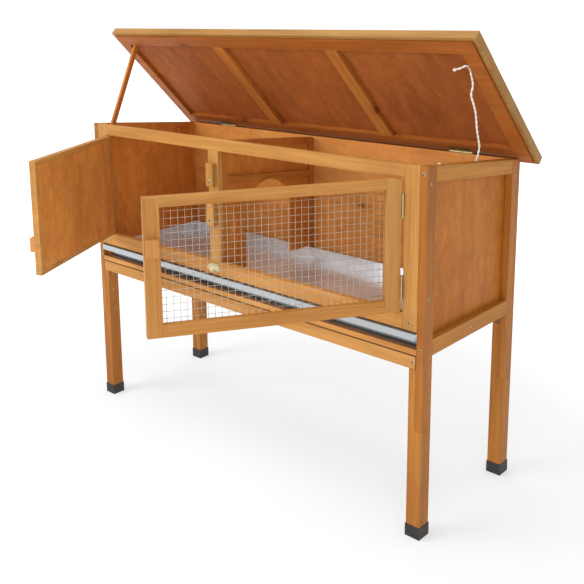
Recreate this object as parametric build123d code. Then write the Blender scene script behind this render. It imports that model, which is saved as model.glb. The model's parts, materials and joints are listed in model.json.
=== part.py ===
from build123d import *
import math
import os

# Small animal hutch on legs, standing open: the lid propped up, both front doors ajar.
# Millimetres, +Z up, X along the front, the front faces -Y.
# The model is made about the middle of the four feet and then moved along Y, so that
# the origin is at the floor under the middle of the open hutch.

# Body
body_length = 1160.0
body_depth = 420.0
front_height = 875.0
roof_drop = 44.0

# Timber and sheet stock
stock_thick = 18.0
stock_wide = 38.0
ply_thick = 6.0
fit_gap = 0.3

# Legs
lap_height = 266.0
cap_height = 30.0
cap_wall = 1.2
cap_floor = 3.0

# Front frame
top_rail_high = 32.5
sill_bottom = 500.5
sill_high = 38.0
mullion_wide = 37.0
mullion_share = -0.0573

# Rails round the tray and the side walls
apron_bottom = 412.5
apron_high = 32.5
tray_rail_thick = 15.0
tray_rail_deep = 38.0
side_top_rail_high = 35.0
side_bottom_rail_bottom = 440.5
rear_rail_high = 38.0
runner_wide = 15.0

# Tray
tray_sheet = 1.0
tray_wall_high = 36.0
tray_side_gap = 3.0
tray_rear_gap = 6.0
tray_front_inset = 30.0
tray_lip_high = 15.5
tray_lip_out = 4.0
tray_lip_end_gap = 2.0
tray_hem = 6.0
tray_lift = 0.3

# Partition with an arched doorway
partition_offset = 8.7
partition_bottom = 499.5
partition_drop = 4.0
batten_thick = 12.0
batten_wide = 15.0
arch_batten_gap = 4.0
doorway_wide = 190.0
doorway_offset = -2.0
doorway_top_share = 0.622

# Doors
door_gap = 2.5
door_lift = 1.0
mesh_door_open_angle = 58.5
left_door_open_angle = 64.3
door_swing_angle = 170.0
mesh_stile_wide = 34.5
mesh_top_rail_high = 22.0
mesh_bottom_rail_high = 27.0
left_stile_wide = 36.0
left_panel_lip = 12.0
panel_play = 0.5
handle_wide = 28.0
handle_high = 38.0
handle_thick = 15.0
handle_edge_inset = 3.0
mesh_handle_share = 0.588
left_handle_share = 0.202

# Wire net, welded from thin wire
net_wire = 1.2
net_set_back = 12.0
net_groove = 5.0
net_columns = 24
net_rows = 12

# Turn buttons
button_wide = 26.0
button_long_share = 0.204
button_thick = 15.0
button_pivot_up = 14.0
upper_button_share = 0.735
lower_button_share = 0.383
button_swing_angle = 90.0
button_corner = 0.8

# Hinges
door_hinge_long = 54.0
lid_hinge_long = 64.0
hinge_barrel_r = 2.6
hinge_pin_r = 1.2
hinge_pin_play = 0.05
hinge_pin_head = 0.6
hinge_leaf_thick = 1.1
hinge_leaf_wide = 16.0
hinge_axis_out = 2.9
hinge_knuckles = 5
hinge_knuckle_gap = 0.4
door_hinge_share = 0.192
lid_hinge_inset = 144.0

# Lid, in its own flat frame: v runs forwards from the hinge pins, n is up off the walls
lid_side_overhang = 37.5
lid_rear_overhang = 23.8
lid_front_overhang = 9.8
lid_open_angle = 44.1
lid_seat_gap = 0.5
lid_frame_thick = 12.0
lid_frame_wide = 36.0
lid_rear_rail_wide = 32.5
lid_batten_wide = 38.0
lid_batten_shares = (-0.152, 0.168)
lid_groove = 2.0
trim_thick = 9.0
trim_bottom_n = 5.5
trim_high = 21.0
felt_thick = 2.0

# Prop stick
stick_wide = 14.0
stick_thick = 9.0
stick_pivot_inset = 42.0
stick_pivot_down = 18.0
stick_end = 10.0
stick_wall_gap = 3.0
stick_washer_r = 7.0
rest_block_wide = 40.0
rest_block_high = 22.0
rest_block_thick = 15.0
rest_block_inset = 65.0
rest_block_down = 18.0

# Screws
screw_head_r = 3.6
screw_head_high = 1.0
pivot_screw_r = 2.4
pivot_head_r = 5.0
pivot_head_high = 1.8
pivot_play = 0.05
pilot_end_inset = 9.0
leg_screw_shares = (0.15, 0.55, 0.92)

# Plate on the sill, bare
plate_wide = 46.0
plate_high = 26.0
plate_thick = 0.8
plate_offset = -5.5

# Cord and its two eyes
cord_diameter = 5.0
cord_knot_r = 4.6
eye_wire_r = 1.1
eye_ring_r = 4.6
eye_shank_long = 8.0
lid_eye_inset = 97.0
wall_eye_inset = 97.0
wall_eye_down = 6.0

overrun = 50.0

# Places worked out from the sizes above
half_length = body_length / 2
half_depth = body_depth / 2
mullion_x = body_length * mullion_share
partition_x = mullion_x + partition_offset
plate_x = mullion_x + plate_offset
doorway_centre_y = doorway_offset
front_y = -half_depth
rear_y = half_depth
post_inner_x = half_length - stock_thick
stile_inner_x = post_inner_x - stock_wide
post_inner_y = half_depth - stock_wide
wall_x = post_inner_x - ply_thick
frame_back_y = front_y + stock_thick
back_panel_y = rear_y - stock_thick - ply_thick
roof_fall = roof_drop / body_depth
roof_slope = math.degrees(math.atan(roof_fall))
slope_cos = math.cos(math.radians(roof_slope))
sill_top = sill_bottom + sill_high
rail_bottom = front_height - top_rail_high
apron_top = apron_bottom + apron_high
tray_bed = apron_top + tray_rail_thick
leg_wide = stock_thick * 2
mullion_left = mullion_x - mullion_wide / 2
mullion_right = mullion_x + mullion_wide / 2
door_bottom = sill_top + door_lift
door_top = rail_bottom - door_lift
door_pin_y = front_y - hinge_axis_out
mesh_pin_x = stile_inner_x - door_gap / 2
left_pin_x = -mesh_pin_x
lid_close_angle = lid_open_angle - roof_slope
doorway_height = rail_bottom - sill_top
button_long = doorway_height * button_long_share
upper_button_z = sill_top + doorway_height * upper_button_share
lower_button_z = sill_top + doorway_height * lower_button_share
mesh_handle_bottom = sill_top + doorway_height * mesh_handle_share
left_handle_bottom = sill_top + doorway_height * left_handle_share
stick_pivot_y = front_y + stick_pivot_inset
rest_block_y = rear_y - rest_block_inset - rest_block_wide
wall_eye_y = front_y + wall_eye_inset
lid_hinge_x = post_inner_x - lid_hinge_inset
lid_length = body_length + lid_side_overhang * 2


def roof_z(y):
    """Height of the walls' sloping top at depth y."""
    return front_height - (y - front_y) * roof_fall


doorway_top = partition_bottom + (front_height - partition_bottom) * doorway_top_share
middle_batten_drop = roof_z(0) - doorway_top - arch_batten_gap - batten_wide
lid_pin_y = rear_y + hinge_axis_out
lid_pin_z = roof_z(lid_pin_y) + lid_seat_gap / slope_cos


def block(x0, x1, y0, y1, z0, z1):
    """Box between two corners."""
    solid = Box(x1 - x0, y1 - y0, z1 - z0, align=(Align.MIN, Align.MIN, Align.MIN))
    return Pos(x0, y0, z0) * solid


def prism(x0, x1, outline):
    """Outline of (y, z) points carried along X from x0 to x1."""
    face = make_face(Polyline(*[(x0, y, z) for y, z in outline], close=True))
    return extrude(face, amount=x1 - x0, dir=(1, 0, 0))


def wall_piece(x0, x1, y0, y1, bottom, drop=0.0):
    """Block from a level bottom up to the roof slope, or to a line drop below it."""
    outline = [(y0, bottom), (y1, bottom), (y1, roof_z(y1) - drop), (y0, roof_z(y0) - drop)]
    return prism(x0, x1, outline)


def slope_rail(x0, x1, y0, y1, drop, high):
    """Rail that follows the roof slope, its top a drop below the walls' top."""
    low = drop + high
    outline = [
        (y0, roof_z(y0) - low),
        (y1, roof_z(y1) - low),
        (y1, roof_z(y1) - drop),
        (y0, roof_z(y0) - drop),
    ]
    return prism(x0, x1, outline)


def rod(start, end, radius):
    """Round bar between two points."""
    line = Vector(*end) - Vector(*start)
    plane = Plane(origin=start, z_dir=line)
    return plane * Cylinder(radius, line.length, align=(Align.CENTER, Align.CENTER, Align.MIN))


def moved(part, place):
    """A part, or a list of pieces that share one node, put in its place."""
    if isinstance(part, list):
        return Compound(children=[place * piece for piece in part])
    return place * part


# Corners: side is -1 for left and 1 for right, end is -1 for front and 1 for rear
def corner_x(side, inner, outer):
    return sorted((side * inner, side * outer))


def corner_y(end):
    return sorted((end * post_inner_y, end * half_depth))


def post(side, end):
    """Upper post, from the lap joint to the roof slope."""
    x0, x1 = corner_x(side, post_inner_x, half_length)
    y0, y1 = corner_y(end)
    return wall_piece(x0, x1, y0, y1, lap_height)


def leg(side, end):
    """Lower leg: full section under the lap, with a tongue up the post's inner face."""
    y0, y1 = corner_y(end)
    x0, x1 = corner_x(side, half_length - leg_wide, half_length)
    foot = block(x0, x1, y0, y1, cap_floor, lap_height)
    x0, x1 = corner_x(side, half_length - leg_wide, post_inner_x)
    tongue = block(x0, x1, y0, y1, lap_height, apron_bottom)
    return foot + tongue


def foot_cap(side, end):
    """Moulded cap round the leg's end."""
    x0, x1 = corner_x(side, half_length - leg_wide, half_length)
    y0, y1 = corner_y(end)
    outer = block(x0 - cap_wall, x1 + cap_wall, y0 - cap_wall, y1 + cap_wall, 0, cap_height)
    return outer - block(x0, x1, y0, y1, cap_floor, cap_height + overrun)


def side_top_rail(side):
    x0, x1 = corner_x(side, post_inner_x, half_length)
    return slope_rail(x0, x1, -post_inner_y, post_inner_y, 0, side_top_rail_high)


def side_bottom_rail(side):
    x0, x1 = corner_x(side, post_inner_x, half_length)
    top = side_bottom_rail_bottom + stock_wide
    return block(x0, x1, -post_inner_y, post_inner_y, side_bottom_rail_bottom, top)


def side_panel(side):
    x0, x1 = corner_x(side, wall_x, post_inner_x)
    return wall_piece(x0, x1, frame_back_y, back_panel_y, side_bottom_rail_bottom)


def front_top_rail():
    return wall_piece(-stile_inner_x, stile_inner_x, front_y, frame_back_y, rail_bottom)


def front_stile(side):
    x0, x1 = corner_x(side, stile_inner_x, post_inner_x)
    return wall_piece(x0, x1, front_y, frame_back_y, sill_bottom)


def mullion():
    return block(mullion_left, mullion_right, front_y, frame_back_y, sill_top, rail_bottom)


def sill():
    return block(-stile_inner_x, stile_inner_x, front_y, frame_back_y, sill_bottom, sill_top)


def front_tray_rail():
    back = front_y + tray_rail_deep
    front = block(-post_inner_x, post_inner_x, front_y, frame_back_y, apron_top, tray_bed)
    return front + block(-wall_x, wall_x, frame_back_y, back, apron_top, tray_bed)


def front_apron():
    return block(-post_inner_x, post_inner_x, front_y, frame_back_y, apron_bottom, apron_top)


def rear_top_rail():
    """Top rail of the back, housed out for the lid hinges' lower leaves."""
    y0 = rear_y - stock_thick
    rail = slope_rail(-post_inner_x, post_inner_x, y0, rear_y, 0, rear_rail_high)
    for side in (-1, 1):
        rail -= lid_leaf_housing(side, roof_slope)
    return rail


def rear_bottom_rail():
    y0 = rear_y - stock_thick
    top = side_bottom_rail_bottom + rear_rail_high
    return block(-post_inner_x, post_inner_x, y0, rear_y, side_bottom_rail_bottom, top)


def rear_middle_stile():
    y0 = rear_y - stock_thick
    bottom = side_bottom_rail_bottom + rear_rail_high
    outline = [
        (y0, bottom),
        (rear_y, bottom),
        (rear_y, roof_z(rear_y) - rear_rail_high),
        (y0, roof_z(y0) - rear_rail_high),
    ]
    return prism(partition_x - stock_wide / 2, partition_x + stock_wide / 2, outline)


def back_panel():
    x = post_inner_x
    return wall_piece(-x, x, back_panel_y, rear_y - stock_thick, side_bottom_rail_bottom)


def tray_carriers():
    """Runner along each side wall and the rail across the back."""
    pieces = []
    back0 = back_panel_y - stock_thick
    for side in (-1, 1):
        x0, x1 = corner_x(side, wall_x - runner_wide, wall_x)
        front = front_y + tray_rail_deep
        pieces.append(block(x0, x1, front, back0, apron_top, tray_bed))
    pieces.append(block(-wall_x, wall_x, back0, back_panel_y, apron_top, tray_bed))
    return pieces


def tray():
    """Folded sheet tray: floor, four walls with hems, and a front lip turned out and down."""
    x1 = wall_x - tray_side_gap
    y0 = front_y + tray_front_inset
    y1 = back_panel_y - tray_rear_gap
    z0 = tray_bed + tray_lift
    z1 = z0 + tray_wall_high
    s = tray_sheet
    solid = block(-x1, x1, y0, y1, z0, z1)
    solid -= block(-x1 + s, x1 - s, y0 + s, y1 - s, z0 + s, z1 + overrun)
    rear_hem = block(-x1, x1, y1 - s * 2, y1 - s, z1 - tray_hem, z1)
    solid += rear_hem
    for side in (-1, 1):
        a, b = corner_x(side, x1 - s * 2, x1 - s)
        solid += block(a, b, y0, y1, z1 - tray_hem, z1)
    lip_x = post_inner_x - tray_lip_end_gap
    lip_y = front_y - tray_lip_out
    behind = frame_back_y - tray_lip_end_gap
    solid += block(-lip_x, lip_x, lip_y, behind, z1 - s, z1)
    solid += block(-x1, x1, behind, y0 + s, z1 - s, z1)
    solid += block(-lip_x, lip_x, lip_y, lip_y + s, z1 - tray_lip_high, z1)
    return solid


def partition_panel():
    """Ply divider with an arched doorway open at its foot."""
    x0 = partition_x - ply_thick
    panel = wall_piece(x0, partition_x, frame_back_y, back_panel_y, partition_bottom, partition_drop)
    radius = doorway_wide / 2
    spring = doorway_top - radius
    y0 = doorway_centre_y - radius
    y1 = doorway_centre_y + radius
    hole = block(x0 - overrun, partition_x + overrun, y0, y1, partition_bottom - overrun, spring)
    arch = rod(
        (x0 - overrun, doorway_centre_y, spring), (partition_x + overrun, doorway_centre_y, spring), radius
    )
    return panel - hole - arch


def partition_battens():
    """Upright at each end, a top and a middle batten, all on the divider's right face."""
    x0, x1 = partition_x, partition_x + batten_thick
    y0, y1 = frame_back_y, back_panel_y
    inner0 = y0 + batten_wide
    inner1 = y1 - batten_wide
    return [
        wall_piece(x0, x1, y0, inner0, partition_bottom, partition_drop),
        wall_piece(x0, x1, inner1, y1, partition_bottom, partition_drop),
        slope_rail(x0, x1, inner0, inner1, partition_drop, batten_wide),
        slope_rail(x0, x1, inner0, inner1, middle_batten_drop, batten_wide),
    ]


# Hinges: made flat at a pin on the Z axis, plates running along +Y from it
def knuckle_spans(long, moving):
    """Spans of the fixed or the moving leaf's knuckles along the pin."""
    pitch = long / hinge_knuckles
    spans = []
    for k in range(hinge_knuckles):
        if (k % 2 == 1) == moving:
            low = -long / 2 + pitch * k
            spans.append((low + hinge_knuckle_gap / 2, low + pitch - hinge_knuckle_gap / 2))
    return spans


def hinge_leaf(long, side, moving, seat):
    """One leaf whose plate stands against a face at x = side * seat."""
    a, b = sorted((side * seat, side * (seat - hinge_leaf_thick)))
    half = long / 2
    leaf = block(a, b, hinge_axis_out, hinge_axis_out + hinge_leaf_wide, -half, half)
    bore = Cylinder(hinge_pin_r + hinge_pin_play, long + overrun)
    for low, high in knuckle_spans(long, moving):
        barrel = rod((0, 0, low), (0, 0, high), hinge_barrel_r)
        leaf += barrel + block(a, b, 0, hinge_axis_out, low, high)
    return leaf - bore


def hinge_pin(long):
    half = long / 2
    pin = rod((0, 0, -half - hinge_pin_head), (0, 0, half + hinge_pin_head), hinge_pin_r)
    for low, high in ((-half - hinge_pin_head, -half), (half, half + hinge_pin_head)):
        pin += rod((0, 0, low), (0, 0, high), hinge_barrel_r)
    return pin


def door_hinge_heights():
    inset = (door_top - door_bottom) * door_hinge_share
    return (door_bottom + inset, door_top - inset)


def lid_hinge_place(side, elevation):
    """Frame of a lid hinge: pin along X, plates running forwards at an elevation."""
    at_pin = Pos(side * lid_hinge_x, lid_pin_y, lid_pin_z) * Rot(-elevation, 0, 0)
    return at_pin * Rot(0, 0, 180) * Rot(0, 90, 0)


def lid_leaf_housing(side, elevation):
    """Space for a lid hinge's leaf, sunk into the timber it is fixed to."""
    half = lid_hinge_long / 2 + fit_gap
    plate = lid_seat_gap + hinge_leaf_thick
    reach = hinge_axis_out + hinge_leaf_wide + fit_gap
    return lid_hinge_place(side, elevation) * block(-plate, plate, -overrun, reach, -half, half)


def placed_door_leaves(pin_x, side, moving, place):
    leaves = []
    for z in door_hinge_heights():
        leaf = hinge_leaf(door_hinge_long, side, moving, door_gap / 2)
        leaves.append(place * Pos(pin_x, door_pin_y, z) * leaf)
    return leaves


# Doors are made closed and then swung about their pins
def door_place(pin_x, angle):
    return Pos(pin_x, door_pin_y, 0) * Rot(0, 0, angle) * Pos(-pin_x, -door_pin_y, 0)


mesh_place = door_place(mesh_pin_x, mesh_door_open_angle)
left_place = door_place(left_pin_x, -left_door_open_angle)
mesh_left = mullion_right + door_gap
mesh_right = stile_inner_x - door_gap
left_left = -stile_inner_x + door_gap
left_right = mullion_left - door_gap
door_back_y = front_y + stock_thick


def net_cut(piece):
    """Groove in a door frame piece that holds the edge of the net."""
    y0 = front_y + net_set_back
    x0 = mesh_left + mesh_stile_wide - net_groove
    x1 = mesh_right - mesh_stile_wide + net_groove
    z0 = door_bottom + mesh_bottom_rail_high - net_groove
    z1 = door_top - mesh_top_rail_high + net_groove
    slack = fit_gap / 2
    return piece - block(x0 - slack, x1 + slack, y0 - slack, y0 + net_wire + slack, z0 - slack, z1 + slack)


def mesh_door_stiles():
    w = mesh_stile_wide
    stiles = []
    for x0 in (mesh_left, mesh_right - w):
        stile = block(x0, x0 + w, front_y, door_back_y, door_bottom, door_top)
        stiles.append(mesh_place * net_cut(stile))
    return stiles


def mesh_door_rails():
    x0 = mesh_left + mesh_stile_wide
    x1 = mesh_right - mesh_stile_wide
    rails = []
    for low, high in (
        (door_bottom, door_bottom + mesh_bottom_rail_high),
        (door_top - mesh_top_rail_high, door_top),
    ):
        rail = block(x0, x1, front_y, door_back_y, low, high)
        rails.append(mesh_place * net_cut(rail))
    return rails


def wire_net():
    """Square net as one plate with rows and columns of square gaps."""
    y0 = front_y + net_set_back
    x0 = mesh_left + mesh_stile_wide - net_groove
    x1 = mesh_right - mesh_stile_wide + net_groove
    z0 = door_bottom + mesh_bottom_rail_high - net_groove
    z1 = door_top - mesh_top_rail_high + net_groove
    pitch_x = (x1 - x0 - net_wire) / net_columns
    pitch_z = (z1 - z0 - net_wire) / net_rows
    outline = Polyline((x0, y0, z0), (x1, y0, z0), (x1, y0, z1), (x0, y0, z1), close=True)
    holes = []
    for i in range(net_columns):
        for k in range(net_rows):
            a = x0 + net_wire + i * pitch_x
            c = z0 + net_wire + k * pitch_z
            b = a + pitch_x - net_wire
            d = c + pitch_z - net_wire
            holes.append(Wire(Polyline((a, y0, c), (b, y0, c), (b, y0, d), (a, y0, d), close=True).edges()))
    face = Face(Wire(outline.edges()), holes)
    return mesh_place * extrude(face, amount=net_wire, dir=(0, 1, 0))


def handle(x0, bottom, place):
    """Plain wooden block on a door's outer face."""
    back = front_y
    piece = block(x0, x0 + handle_wide, back - handle_thick, back, bottom, bottom + handle_high)
    return place * piece


def left_door_frame():
    """Two stiles and two rails, rebated inside for the panel."""
    w = left_stile_wide
    y0, y1 = front_y, door_back_y
    pieces = [
        block(left_left, left_left + w, y0, y1, door_bottom, door_top),
        block(left_right - w, left_right, y0, y1, door_bottom, door_top),
        block(left_left + w, left_right - w, y0, y1, door_bottom, door_bottom + w),
        block(left_left + w, left_right - w, y0, y1, door_top - w, door_top),
    ]
    rebate = left_panel_block(0)
    return [left_place * (piece - rebate) for piece in pieces]


def left_panel_block(play):
    lip = left_panel_lip + play
    y0 = door_back_y - ply_thick
    y1 = door_back_y + (0 if play else overrun)
    x0, x1 = left_left + lip, left_right - lip
    return block(x0, x1, y0, y1, door_bottom + lip, door_top - lip)


def left_door_panel():
    return left_place * left_panel_block(panel_play)


def turn_button(z):
    """Wooden turn button, upright on its screw."""
    y0 = front_y - fit_gap - button_thick
    y1 = front_y - fit_gap
    x0, x1 = mullion_x - button_wide / 2, mullion_x + button_wide / 2
    low = z - button_pivot_up
    piece = block(x0, x1, y0, y1, low, low + button_long)
    piece = chamfer(piece.edges().filter_by(Axis.Y), button_corner)
    bore_r = pivot_screw_r + pivot_play
    return piece - rod((mullion_x, y0 - overrun, z), (mullion_x, y1 + overrun, z), bore_r)


def button_screws():
    pieces = []
    head_y = front_y - fit_gap - button_thick - fit_gap
    for z in (upper_button_z, lower_button_z):
        shank = rod((mullion_x, front_y, z), (mullion_x, head_y, z), pivot_screw_r)
        head = rod((mullion_x, head_y, z), (mullion_x, head_y - pivot_head_high, z), pivot_head_r)
        pieces.append(shank + head)
    return pieces


# Lid, built flat in its own frame and then raised
lid_place = Pos(0, lid_pin_y, lid_pin_z) * Rot(-lid_open_angle, 0, 0)
lid_half = lid_length / 2
lid_front_reach = (lid_pin_y - front_y) / slope_cos + lid_front_overhang
lid_eye_v = lid_front_reach - lid_eye_inset
frame_half = lid_half - trim_thick - lid_groove
frame_front_v = lid_front_reach - trim_thick - lid_groove
frame_rear_v = -lid_rear_overhang + trim_thick + lid_groove
lid_under_n = lid_seat_gap
lid_ply_n = lid_under_n + lid_frame_thick
lid_felt_n = lid_ply_n + ply_thick
front_rail_v = frame_front_v - lid_frame_wide
rear_rail_v = hinge_barrel_r + fit_gap * 2


def lid_block(x0, x1, v0, v1, n0, n1):
    """Block in the lid's frame."""
    return block(x0, x1, -v1, -v0, n0, n1)


def lid_frame():
    """Two full-length side members with a front and a rear rail between them."""
    inner = frame_half - lid_frame_wide
    rear = lid_block(-inner, inner, rear_rail_v, rear_rail_v + lid_rear_rail_wide, lid_under_n, lid_ply_n)
    housing = Pos(0, -lid_pin_y, -lid_pin_z)
    for side in (-1, 1):
        rear -= housing * lid_leaf_housing(side, 0)
    pieces = [
        lid_block(-frame_half, -inner, frame_rear_v, frame_front_v, lid_under_n, lid_ply_n),
        lid_block(inner, frame_half, frame_rear_v, frame_front_v, lid_under_n, lid_ply_n),
        lid_block(-inner, inner, front_rail_v, frame_front_v, lid_under_n, lid_ply_n),
        rear,
    ]
    return [lid_place * piece for piece in pieces]


def lid_battens():
    pieces = []
    for share in lid_batten_shares:
        x = share * lid_length
        half = lid_batten_wide / 2
        v0 = rear_rail_v + lid_rear_rail_wide
        pieces.append(lid_place * lid_block(x - half, x + half, v0, front_rail_v, lid_under_n, lid_ply_n))
    return pieces


def lid_sheet(n0, n1):
    x = lid_half - trim_thick
    v0 = -lid_rear_overhang + trim_thick
    return lid_place * lid_block(-x, x, v0, lid_front_reach - trim_thick, n0, n1)


def lid_trim():
    """Strips round the lid's edge, mitred in line at the corners."""
    n0, n1 = trim_bottom_n, trim_bottom_n + trim_high
    x1, x0 = lid_half, lid_half - trim_thick
    v0, v1 = -lid_rear_overhang, lid_front_reach
    t = trim_thick
    pieces = [
        lid_block(-x1, x1, v1 - t, v1, n0, n1),
        lid_block(-x1, x1, v0, v0 + t, n0, n1),
        lid_block(-x1, -x0, v0 + t, v1 - t, n0, n1),
        lid_block(x0, x1, v0 + t, v1 - t, n0, n1),
    ]
    return [lid_place * piece for piece in pieces]


def lid_hinge_leaves(face, moving, elevation):
    leaves = []
    seat = lid_seat_gap + hinge_leaf_thick
    for side in (-1, 1):
        leaf = hinge_leaf(lid_hinge_long, face, moving, seat)
        leaves.append(lid_hinge_place(side, elevation) * leaf)
    return leaves


def hinge_pins():
    pins = []
    for x in (left_pin_x, mesh_pin_x):
        pins += [Pos(x, door_pin_y, z) * hinge_pin(door_hinge_long) for z in door_hinge_heights()]
    pins += [lid_hinge_place(side, roof_slope) * hinge_pin(lid_hinge_long) for side in (-1, 1)]
    return pins


# Prop stick: from a screw on the left wall up into the lid's front left corner
elevation = math.radians(lid_open_angle)


def lid_to_body(v, n):
    """Depth and height of a point of the open lid."""
    y = lid_pin_y - v * math.cos(elevation) + n * math.sin(elevation)
    z = lid_pin_z + v * math.sin(elevation) + n * math.cos(elevation)
    return y, z


stick_outer_x = -wall_x + stick_wall_gap
stick_inner_x = stick_outer_x + stick_thick
stick_pivot_z = roof_z(stick_pivot_y) - stick_pivot_down


# The tip is rounded and sits in the corner behind the front rail and under the ply
stick_tip_v = front_rail_v - fit_gap - stick_wide / 2
stick_tip_n = lid_ply_n - fit_gap - stick_wide / 2
stick_tip_y, stick_tip_z = lid_to_body(stick_tip_v, stick_tip_n)
stick_angle = math.degrees(math.atan2(stick_tip_z - stick_pivot_z, stick_tip_y - stick_pivot_y))
stick_reach = math.hypot(stick_tip_z - stick_pivot_z, stick_tip_y - stick_pivot_y)
stick_place = Pos(0, stick_pivot_y, stick_pivot_z) * Rot(stick_angle, 0, 0)


def prop_stick():
    half = stick_wide / 2
    bar = block(stick_outer_x, stick_inner_x, -stick_end, stick_reach, -half, half)
    bar += rod((stick_outer_x, stick_reach, 0), (stick_inner_x, stick_reach, 0), half)
    bore = rod((stick_outer_x - overrun, 0, 0), (stick_inner_x + overrun, 0, 0), pivot_screw_r + pivot_play)
    return stick_place * (bar - bore)


def prop_screw():
    """Screw through the stick's foot, cut off at the stick's wall side."""
    shank = rod((stick_outer_x, 0, 0), (stick_inner_x, 0, 0), pivot_screw_r)
    head = rod((stick_inner_x, 0, 0), (stick_inner_x + pivot_head_high, 0, 0), pivot_head_r)
    return stick_place * (shank + head)


def prop_washer():
    a = (-wall_x, stick_pivot_y, stick_pivot_z)
    b = (stick_outer_x - fit_gap, stick_pivot_y, stick_pivot_z)
    return rod(a, b, stick_washer_r)


def rest_block():
    """Block on the left wall that the folded stick lies on."""
    x0, x1 = -wall_x, -wall_x + rest_block_thick
    y0, y1 = rest_block_y, rest_block_y + rest_block_wide
    return slope_rail(x0, x1, y0, y1, rest_block_down, rest_block_high)


# Cord and eyes
def screw_eye(ring_centre, shank_end, ring_normal):
    """Small eye: a wire ring with its shank."""
    ring = Plane(origin=ring_centre, z_dir=ring_normal) * Torus(eye_ring_r, eye_wire_r)
    centre = Vector(*ring_centre)
    out = (Vector(*shank_end) - centre).normalized() * eye_ring_r
    start = centre + out
    shank = rod((start.X, start.Y, start.Z), shank_end, eye_wire_r)
    return ring + shank


lid_inner_x = frame_half - lid_frame_wide
lid_eye_reach = eye_ring_r + eye_wire_r + fit_gap
lid_eye_x = lid_inner_x - lid_eye_reach
lid_eye_n = lid_under_n + lid_frame_thick / 2
lid_eye_y, lid_eye_z = lid_to_body(lid_eye_v, lid_eye_n)
wall_eye_reach = eye_ring_r + eye_wire_r + fit_gap
wall_eye_x = wall_x - wall_eye_reach
wall_eye_z = roof_z(wall_eye_y) - wall_eye_down


def lid_eye():
    end = (lid_inner_x, lid_eye_y, lid_eye_z)
    along_lid = (0, math.cos(elevation), -math.sin(elevation))
    return screw_eye((lid_eye_x, lid_eye_y, lid_eye_z), end, along_lid)


def wall_eye():
    end = (wall_x, wall_eye_y, wall_eye_z)
    return screw_eye((wall_eye_x, wall_eye_y, wall_eye_z), end, (0, 0, 1))


# Points of the cord's route, from its tail through the lid eye down to the wall eye: the share
# of the way from eye to eye, then how far the point lies right, back and up from there
cord_route = [
    (0, -28.5, -11.7, -6.4),
    (0, -19.0, -12.6, -4.6),
    (0, -9.0, -11.4, -0.6),
    (0, -0.8, -6.5, 5.2),
    (0, 0.3, 6.3, -6.1),
    (0.06, -0.4, 17.6, -3.4),
    (0.11, -1.9, 34.9, -9.8),
    (0.17, -2.5, 44.8, -12.0),
    (0.22, -3.3, 42.6, -17.2),
    (0.28, -4.4, 64.6, -24.8),
    (0.33, -5.7, 85.2, -36.8),
    (0.39, -6.8, 99.5, -48.6),
    (0.44, -7.6, 109.9, -57.7),
    (0.5, -8.2, 127.6, -70.4),
    (0.56, -8.4, 140.3, -72.9),
    (0.61, -8.2, 142.0, -76.6),
    (0.67, -7.8, 139.7, -80.3),
    (0.72, -7.6, 126.4, -92.3),
    (0.78, -6.7, 103.7, -97.5),
    (0.83, -5.5, 74.1, -92.9),
    (0.89, -4.1, 47.4, -75.2),
    (0.94, -2.4, 23.7, -52.6),
    (1.0, -0.4, 9.0, -21.8),
    (1.0, 0.0, 0.4, -9.8),
    (1.0, 0.0, 0.0, 3.6),
]
cord_radius_share = 0.45


def cord_radii(points):
    """Arc radius at each corner, as large as its two runs allow."""
    radii = []
    for before, here, after in zip(points, points[1:], points[2:]):
        first = here - before
        second = after - here
        half_turn = math.radians(first.get_angle(second)) / 2
        radii.append(cord_radius_share * min(first.length, second.length) / math.tan(half_turn))
    return radii


def cord_points():
    start = Vector(lid_eye_x, lid_eye_y, lid_eye_z)
    end = Vector(wall_eye_x, wall_eye_y, wall_eye_z)
    return [start + (end - start) * share + Vector(x, y, z) for share, x, y, z in cord_route]


def stay_cord():
    """Limp cord with a knot at each end."""
    points = cord_points()
    radii = cord_radii(points)
    path = FilletPolyline(*points, radius=radii)
    start = Plane(origin=points[0], z_dir=points[1] - points[0])
    tube = sweep(start * Circle(cord_diameter / 2), path=path)
    area = math.pi * cord_diameter ** 2 / 4
    print("cord length", round(path.length, 1), "radii", [round(r, 1) for r in radii])
    print("cord volume over section times length", round(tube.volume / (area * path.length), 4))
    for end in (points[0], points[-1]):
        tube += Pos(end) * Sphere(cord_knot_r)
    return tube


# Screws
def face_screw(x, y, z, direction):
    """Screw head standing on a face, its shank in the timber behind."""
    out = Vector(*direction)
    base = Vector(x, y, z)
    top = base + out * screw_head_high
    return rod((base.X, base.Y, base.Z), (top.X, top.Y, top.Z), screw_head_r)


def frame_screws():
    """Screw heads on the posts, the apron and the legs' inner faces."""
    front = (0, -1, 0)
    pieces = []
    for side in (-1, 1):
        outer = side * (half_length - stock_thick / 2)
        stile = side * (post_inner_x - stock_wide / 2)
        inner = side * (post_inner_x - pilot_end_inset)
        pieces.append(face_screw(outer, front_y, roof_z(front_y) - pilot_end_inset * 2, front))
        pieces.append(face_screw(outer, front_y, tray_bed, front))
        pieces.append(face_screw(stile, front_y, sill_bottom + stock_thick, front))
        pieces.append(face_screw(inner, front_y, apron_bottom + apron_high / 2, front))
        right = (side, 0, 0)
        x = side * half_length
        for end in (-1, 1):
            y = end * (half_depth - stock_wide / 2)
            pieces.append(face_screw(x, y, roof_z(y) - stock_wide, right))
            pieces.append(face_screw(x, y, sill_bottom + stock_wide * 2, right))
            inward = (-side, 0, 0)
            strip = side * (half_length - leg_wide)
            for share in leg_screw_shares:
                z = lap_height + share * (apron_bottom - lap_height)
                pieces.append(face_screw(strip, y, z, inward))
        pieces.append(face_screw(x, 0, side_bottom_rail_bottom + stock_wide / 2, right))
    return pieces


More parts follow.
